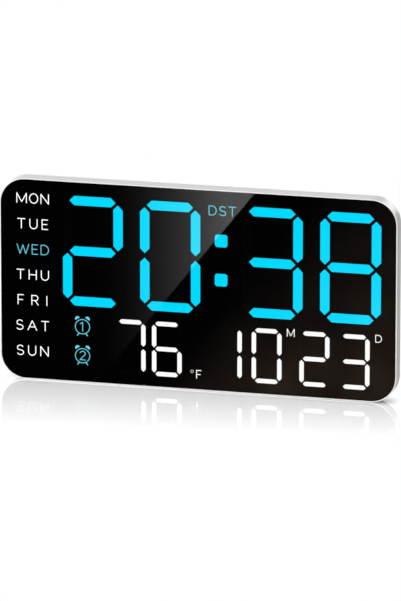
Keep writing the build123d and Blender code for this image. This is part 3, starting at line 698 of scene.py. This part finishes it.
# %% A section carried round the outline
def carried_round(section, corner, steps=13):
    """Loops of a section whose points are an inset from the outline and a depth: at each angle of the
    four corner arcs, a point lies at the corner radius minus its inset from the arc's middle."""
    (left, front, bottom), (right, _, top) = solid_box
    quarters = [np.linspace(start, start + 90, steps) for start in (0, 90, 180, 270)]
    angle = np.radians(np.concatenate(quarters))[:, None]
    middles_x = (right - corner, left + corner, left + corner, right - corner)
    middles_z = (top - corner, top - corner, bottom + corner, bottom + corner)
    reach = corner - section[:, 0]
    across = np.repeat(middles_x, steps)[:, None] + reach * np.cos(angle)
    upward = np.repeat(middles_z, steps)[:, None] + reach * np.sin(angle)
    return np.stack([across, np.broadcast_to(front + section[:, 1], across.shape), upward], axis=-1)


case_corner = 21.0 * mm
gap_start, gap_end, border_end = 0.97, 1.03, 1.9
edge_front, border_front, border_back = 0.25, 2.01, 2.04
edge_section = np.array([
    (gap_start, edge_front), (gap_end, edge_front), (gap_end, border_front),
    (border_end, border_front), (border_end, border_back), (gap_start, border_back),
]) * mm
edge_loops = carried_round(edge_section, case_corner)
make_piece("sheet_edge_black", [(edge_loops, True)], ink)
print("black edge of", len(edge_loops), "sections")

# %% [markdown]
# ## Screw heads with a cross
# Six screws hold the back. The solids are plain pan heads, and the real ones have a cross for
# the driver. A cross could be cut with a boolean, but one surface does it: a profile turned
# round the screw's axis, whose top sinks wherever a point lies in one of the two arms. The rings
# near the middle are close together, because the arms are narrow there.

# %% Case screws
head_radius, head_height, flat_radius = 2.5 * mm, 1.7 * mm, 1.9 * mm
cross_depth, cross_slope, arm_wide, arm_long = 0.9 * mm, 0.15 * mm, 0.32 * mm, 1.45 * mm


def in_strip(place, half):
    """1 inside a strip about zero of the given half width, 0 outside, with a slope between."""
    return np.clip((half - np.abs(place)) / cross_slope + 0.5, 0.0, 1.0)


def screw_loops(x, z, seat, top):
    """Rings round the axis: radius and depth follow the profile of a pan head and its shank. Inside
    the cross the top sinks by the cross depth, with sloping walls."""
    inner = np.linspace(0.0, flat_radius, 20)
    crown = top - 0.1 * mm * (inner / flat_radius) ** 2
    rest = np.array([
        (2.2 * mm, top - 0.25 * mm), (2.4 * mm, top - 0.55 * mm), (head_radius, top - 0.95 * mm),
        (head_radius, seat), (1.1 * mm, seat), (1.1 * mm, seat - 6.0 * mm), (0.0, seat - 7.0 * mm),
    ])
    radius = np.concatenate([inner, rest[:, 0]])[:, None]
    angle = np.linspace(0.0, 2 * math.pi, 64, endpoint=False)
    across, upward = radius * np.cos(angle), radius * np.sin(angle)
    arms = [
        np.minimum(in_strip(short, arm_wide), in_strip(long, arm_long))
        for short, long in ((across, upward), (upward, across))
    ]
    cross = np.maximum(*arms)
    cross[len(inner):] = 0.0
    depth = np.concatenate([crown, rest[:, 1]])[:, None] - cross_depth * cross
    return np.stack([x + across, depth, z + upward], axis=-1)


low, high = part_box("case_screws")
side_x, low_z, high_z = high[0] - head_radius, low[2] + head_radius, high[2] - head_radius
corner_x = solid_box[1][0] - low_z
seat = high[1] - head_height
heads = []
for x, z in ((corner_x, low_z), (corner_x, high_z), (side_x, (low_z + high_z) / 2)):
    heads += [(screw_loops(side * x, z, seat, high[1]), False) for side in (-1, 1)]
screws = make_piece("case_screws_cross", heads, steel, smooth=True)
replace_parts(screws, "case_screws")
print(len(heads), "screws with a cross")

# %% [markdown]
# ## The floor's mirror image
# The clock stands on white with a faint mirror image under it, which is gone about 130 mm in
# front of the case at its left end and sooner at its right end. A floor of one shader can't do
# that, so a white floor is mixed with a mirror. The mirror's share falls with the distance from
# the case's footprint, which is the length of what is left of a place after half the footprint
# is taken from its two coordinates.

# %% Floor
half_floor, below_feet = 14.0, 0.1 * mm
floor_mesh = bpy.data.meshes.new("floor")
corners = np.array([(-1, -1, 0), (1, -1, 0), (1, 1, 0), (-1, 1, 0)]) * half_floor - (0, 0, below_feet)
floor_mesh.from_pydata(corners.tolist(), [], [(0, 1, 2, 3)])
floor = bpy.data.objects.new("floor", floor_mesh)
bpy.context.scene.collection.objects.link(floor)
floor.visible_glossy = False
print("floor", 2 * half_floor, "m wide")

# %% The mirror's share of the floor
floor_white = bpy.data.materials.new("floor_white")
floor_white.use_nodes = True
floor_mesh.materials.append(floor_white)
tree = floor_white.node_tree
tree.nodes.clear()
place = add_node(tree, "ShaderNodeTexCoord").outputs["Object"]
half_case, half_depth, _ = solid_box[1]
nothing, footprint = (0.0, 0.0, 0.0), (half_case, half_depth, 1.0)
away = place
for operation, other in (("ABSOLUTE", nothing), ("SUBTRACT", footprint), ("MAXIMUM", nothing)):
    step = add_node(tree, "ShaderNodeVectorMath", {"operation": operation}, {0: away})
    step.inputs[1].default_value = other
    away = step.outputs[0]
away = add_node(tree, "ShaderNodeVectorMath", {"operation": "LENGTH"}, {0: away}).outputs["Value"]
across = add_node(tree, "ShaderNodeSeparateXYZ", {}, {"Vector": place}).outputs["X"]
fade_left, fade_right = 130 * mm, 90 * mm
share_left, share_right = 0.49, 0.39
ends = {"From Min": -half_case, "From Max": half_case}
fade_length = add_node(
    tree, "ShaderNodeMapRange", {**ends, "To Min": fade_left, "To Max": fade_right}, {"Value": across}
)
first_share = add_node(
    tree, "ShaderNodeMapRange", {**ends, "To Min": share_left, "To Max": share_right}, {"Value": across}
)
mirror_share = add_node(
    tree, "ShaderNodeMapRange", {"To Max": 0.0},
    {
        "Value": away, "From Max": fade_length.outputs["Result"],
        "To Min": first_share.outputs["Result"],
    },
)
print("mirror image fades from", share_left, "over", round(fade_left / mm), "mm at the left")

# %% [markdown]
# ## The floor's white and its painted shadow
# For the camera the floor also gives its own white, so that it stays white without more light on
# the clock. That would hide the shadow at the clock's foot, so a shadow is painted into that white:
# it is dimmed where the clock blocks the view of a hemisphere that leans to the front and the
# left, more at the right end than at the left. For all other rays the floor is plain white paint.

# %% White, painted shadow and mirror
shadow_reach, dimmest_left, dimmest_right = 9 * mm, 0.85, 0.0
seen = add_node(tree, "ShaderNodeLightPath")
lean = add_node(tree, "ShaderNodeCombineXYZ", {"X": -0.3, "Y": -0.15, "Z": 0.94})
open_view = add_node(
    tree, "ShaderNodeAmbientOcclusion", {"Distance": shadow_reach}, {"Normal": lean.outputs["Vector"]}
)
# Ambient occlusion darkens the floor's glow: a painted shadow that leans so it falls to the right,
# deepest at the right end.
dimmest = add_node(
    tree, "ShaderNodeMapRange", {**ends, "To Min": dimmest_left, "To Max": dimmest_right},
    {"Value": across},
)
white_with_painted_shadow = add_node(
    tree, "ShaderNodeMapRange", {},
    {"Value": open_view.outputs["AO"], "To Min": dimmest.outputs["Result"]},
)
white = linear("#FFFFFF")
glow = add_node(
    tree, "ShaderNodeEmission", {"Color": white}, {"Strength": white_with_painted_shadow.outputs["Result"]}
)
paint = add_node(tree, "ShaderNodeBsdfDiffuse", {"Color": linear("#F7F7F7")})
mirror = add_node(tree, "ShaderNodeBsdfGlossy", {"Color": white, "Roughness": 0.002})
lit_paint = add_node(
    tree, "ShaderNodeMixShader", {},
    {0: seen.outputs["Is Camera Ray"], 1: paint.outputs["BSDF"], 2: glow.outputs["Emission"]},
)
whole = add_node(
    tree, "ShaderNodeMixShader", {},
    {0: mirror_share.outputs["Result"], 1: lit_paint.outputs["Shader"], 2: mirror.outputs["BSDF"]},
)
add_node(tree, "ShaderNodeOutputMaterial", links={"Surface": whole.outputs["Shader"]})
print("shadow reaches", round(shadow_reach / mm), "mm")

# %% [markdown]
# ## White surroundings
# The world is white where the camera sees it or a mirror looks up. A mirror that looks down, or
# level, sees dim ground behind the clock and dark ground before it, as it would in a room.
# Elsewhere the world is a softer light, stronger from the left.

# %% World
world = bpy.data.worlds.new("studio")
bpy.context.scene.world = world
world.use_nodes = True
tree = world.node_tree
tree.nodes.clear()
seen = add_node(tree, "ShaderNodeLightPath")
way = add_node(tree, "ShaderNodeTexCoord").outputs["Generated"]
way = add_node(tree, "ShaderNodeSeparateXYZ", {}, {"Vector": way})
soft_left, soft_right = 0.62, 0.24
ground_before, ground_behind, ground_turn = 0.003, 0.35, 0.4
white_start, white_full = 0.02, 0.08
soft = add_node(
    tree, "ShaderNodeMapRange", {"From Min": -1.0, "To Min": soft_left, "To Max": soft_right},
    {"Value": way.outputs["X"]},
)
ground = add_node(
    tree, "ShaderNodeMapRange",
    {
        "From Min": -ground_turn, "From Max": ground_turn,
        "To Min": ground_before, "To Max": ground_behind,
    },
    {"Value": way.outputs["Y"]},
)
mirrored_level = add_node(
    tree, "ShaderNodeMapRange", {"From Min": white_start, "From Max": white_full},
    {"Value": way.outputs["Z"], "To Min": ground.outputs["Result"]},
)
in_mirror = add_node(
    tree, "ShaderNodeMath", {"operation": "MAXIMUM"},
    {0: seen.outputs["Is Glossy Ray"], 1: seen.outputs["Is Transmission Ray"]},
)
level = add_node(
    tree, "ShaderNodeMix", {},
    {
        "Factor": in_mirror.outputs[0], "A": soft.outputs["Result"],
        "B": mirrored_level.outputs["Result"],
    },
)
level = add_node(
    tree, "ShaderNodeMix", {"B": 1.0},
    {"Factor": seen.outputs["Is Camera Ray"], "A": level.outputs["Result"]},
)
sky = add_node(tree, "ShaderNodeBackground", {"Color": white}, {"Strength": level.outputs["Result"]})
add_node(tree, "ShaderNodeOutputWorld", links={"Surface": sky.outputs["Background"]})
print("soft light from", soft_left, "at the left to", soft_right, "at the right")

# %% [markdown]
# ## The lamps
# In the photograph the front of the rim is brightest, the top is a little darker and the right
# side is darkest, so the main light comes from the front, from above and a little from the
# left. A large soft lamp gives that without hard shadows. The upper right corner of the rim
# shines, because its polished curve mirrors a light behind the clock. A smaller lamp stands
# there, on the line that this curve mirrors towards the camera. The third lamp stands low and
# far behind, so that the back is as well lit as the front and the top hardly sees it.

# %% Three soft lamps
def add_lamp(name, place, size, power):
    """A square area lamp that faces the middle of the clock."""
    lamp = bpy.data.objects.new(name, bpy.data.lights.new(name, "AREA"))
    lamp.data.size = size
    lamp.data.energy = power
    lamp.location = place
    lamp.rotation_euler = (Vector(place) - Vector((0, 0, 0.08))).to_track_quat("Z", "Y").to_euler()
    lamp.visible_camera = False
    bpy.context.scene.collection.objects.link(lamp)
    return lamp


main_lamp = add_lamp("main_lamp", (-0.9, -2.5, 1.15), 1.8, 51.0)
corner_lamp = add_lamp("corner_lamp", (0.60, 2.25, 0.58), 0.8, 8.0)
rear_lamp = add_lamp("rear_lamp", (-2.0, 2.2, 0.24), 1.2, 28.0)
print("lamps of", [lamp.data.energy for lamp in (main_lamp, corner_lamp, rear_lamp)], "W")

# %% [markdown]
# ## What the front mirrors
# The polished sheet mirrors what lies before it: in the photograph a pale surface that brightens
# to the right and ends at a slanting edge, and dim warm surroundings beyond. A studio gets this
# with a card out of view. The card stands 0.45 m before the clock and only mirrors see it. It is
# see-through and only adds its light, so that it hides nothing from the floor's mirror. A point
# of the sheet shows the card where the line from the mirrored camera through that point meets
# the card, so the pattern is written in millimetres of the sheet and carried to the card.

# %% A card that only mirrors see
mirrored = camera.location.copy()
mirrored[1] = 2 * front_y - mirrored[1]
card_distance = 0.45
card_y = front_y - card_distance
spread = (card_y - mirrored[1]) / (front_y - mirrored[1])
sheet_corners = np.array([(-0.30, -0.12), (0.30, -0.12), (0.30, 0.30), (-0.30, 0.30)])
eye = np.array([mirrored[0], mirrored[2]])
flat = eye + (sheet_corners - eye) * spread
card_mesh = bpy.data.meshes.new("mirror_card")
card_mesh.from_pydata([(x, card_y, z) for x, z in flat.tolist()], [], [(0, 1, 2, 3)])
card = bpy.data.objects.new("mirror_card", card_mesh)
bpy.context.scene.collection.objects.link(card)
card.visible_camera = card.visible_diffuse = False
card.visible_transmission = card.visible_shadow = False
print("card", round(float(np.ptp(flat[:, 0])), 2), "m wide, spread", round(spread, 3))

# %% Millimetres of the sheet on the card
card_finish = bpy.data.materials.new("mirror_card")
card_finish.use_nodes = True
card_mesh.materials.append(card_finish)
tree = card_finish.node_tree
tree.nodes.clear()
place = add_node(tree, "ShaderNodeTexCoord").outputs["Object"]
on_sheet = add_node(
    tree, "ShaderNodeMapping",
    {"Scale": [1 / spread / mm] * 3, "Location": [v * (1 - 1 / spread) / mm for v in mirrored]},
    {"Vector": place},
).outputs["Vector"]
axes = add_node(tree, "ShaderNodeSeparateXYZ", {}, {"Vector": on_sheet})
rightward, upward = axes.outputs["X"], axes.outputs["Z"]
edge_slant = 0.79
past_edge = add_node(tree, "ShaderNodeVectorMath", {"operation": "DOT_PRODUCT"}, {0: on_sheet})
past_edge.inputs[1].default_value = (1.0, 0.0, -edge_slant)
past_edge = past_edge.outputs["Value"]
print("a millimetre of the sheet is", round(spread, 3), "mm on the card")

# %% [markdown]
# ## The card's two lights
# The pale light grows with a power of the distance to the right and stops at the slanting edge.
# The dim warm light starts some way past that edge, is weaker towards the top and is clouded by
# a coarse noise. Both end above the sheet, so that the floor doesn't mirror the card as well.

# %% Pale light and dim light
sheet_top, card_end = 172.0, 215.0
above_sheet = {"From Min": sheet_top, "From Max": card_end, "To Max": 0.0}
pale_strength, pale_growth = 2.02, 3.1
pale_start, pale_full = -100.0, 24.0
edge_start, edge_stop = -84.3, -83.0
grown = add_node(
    tree, "ShaderNodeMapRange", {"From Min": pale_start, "From Max": pale_full}, {"Value": rightward}
)
pale = add_node(tree, "ShaderNodeMath", {"operation": "POWER"}, {0: grown.outputs["Result"]})
pale.inputs[1].default_value = pale_growth
pale = pale.outputs[0]
before_edge = add_node(
    tree, "ShaderNodeMapRange",
    {
        "From Min": edge_start, "From Max": edge_stop, "To Min": 1.0, "To Max": 0.0,
        "interpolation_type": "SMOOTHSTEP",
    },
    {"Value": past_edge},
)
pale_level = add_node(
    tree, "ShaderNodeMapRange", {**above_sheet, "To Min": pale_strength}, {"Value": upward}
)
for factor in (before_edge.outputs["Result"], pale_level.outputs["Result"]):
    pale = add_node(tree, "ShaderNodeMath", {"operation": "MULTIPLY"}, {0: pale, 1: factor}).outputs[0]
dim_strength, dim_at_top, cloud_size = 0.66, 0.48, 45.0
dim_start, dim_full = -38.0, 60.0
dim_top, dim_bottom = 110.0, 30.0
beyond = add_node(
    tree, "ShaderNodeMapRange", {"From Min": dim_start, "From Max": dim_full}, {"Value": past_edge}
)
lower = add_node(
    tree, "ShaderNodeMapRange",
    {"From Min": dim_top, "From Max": dim_bottom, "To Min": dim_at_top, "To Max": 1.0},
    {"Value": upward},
)
clouds = add_node(
    tree, "ShaderNodeTexNoise", {"Scale": 1 / cloud_size, "Detail": 2.0}, {"Vector": on_sheet}
)
dim_level = add_node(
    tree, "ShaderNodeMapRange", {**above_sheet, "To Min": dim_strength}, {"Value": upward}
)
dim = beyond.outputs["Result"]
for factor in (lower.outputs["Result"], clouds.outputs["Fac"], dim_level.outputs["Result"]):
    dim = add_node(tree, "ShaderNodeMath", {"operation": "MULTIPLY"}, {0: dim, 1: factor}).outputs[0]
print("pale light up to", pale_strength, "and dim light up to", dim_strength)

# %% A see-through card
pale_light = add_node(tree, "ShaderNodeEmission", {"Color": linear("#FFFDFC")}, {"Strength": pale})
dim_light = add_node(tree, "ShaderNodeEmission", {"Color": linear("#FFDBBE")}, {"Strength": dim})
gauze = add_node(tree, "ShaderNodeBsdfTransparent")
both = add_node(
    tree, "ShaderNodeAddShader", {},
    {0: pale_light.outputs["Emission"], 1: dim_light.outputs["Emission"]},
)
both = add_node(tree, "ShaderNodeAddShader", {}, {0: both.outputs["Shader"], 1: gauze.outputs["BSDF"]})
add_node(tree, "ShaderNodeOutputMaterial", links={"Surface": both.outputs["Shader"]})
print("card's pattern of", len(tree.nodes), "nodes")
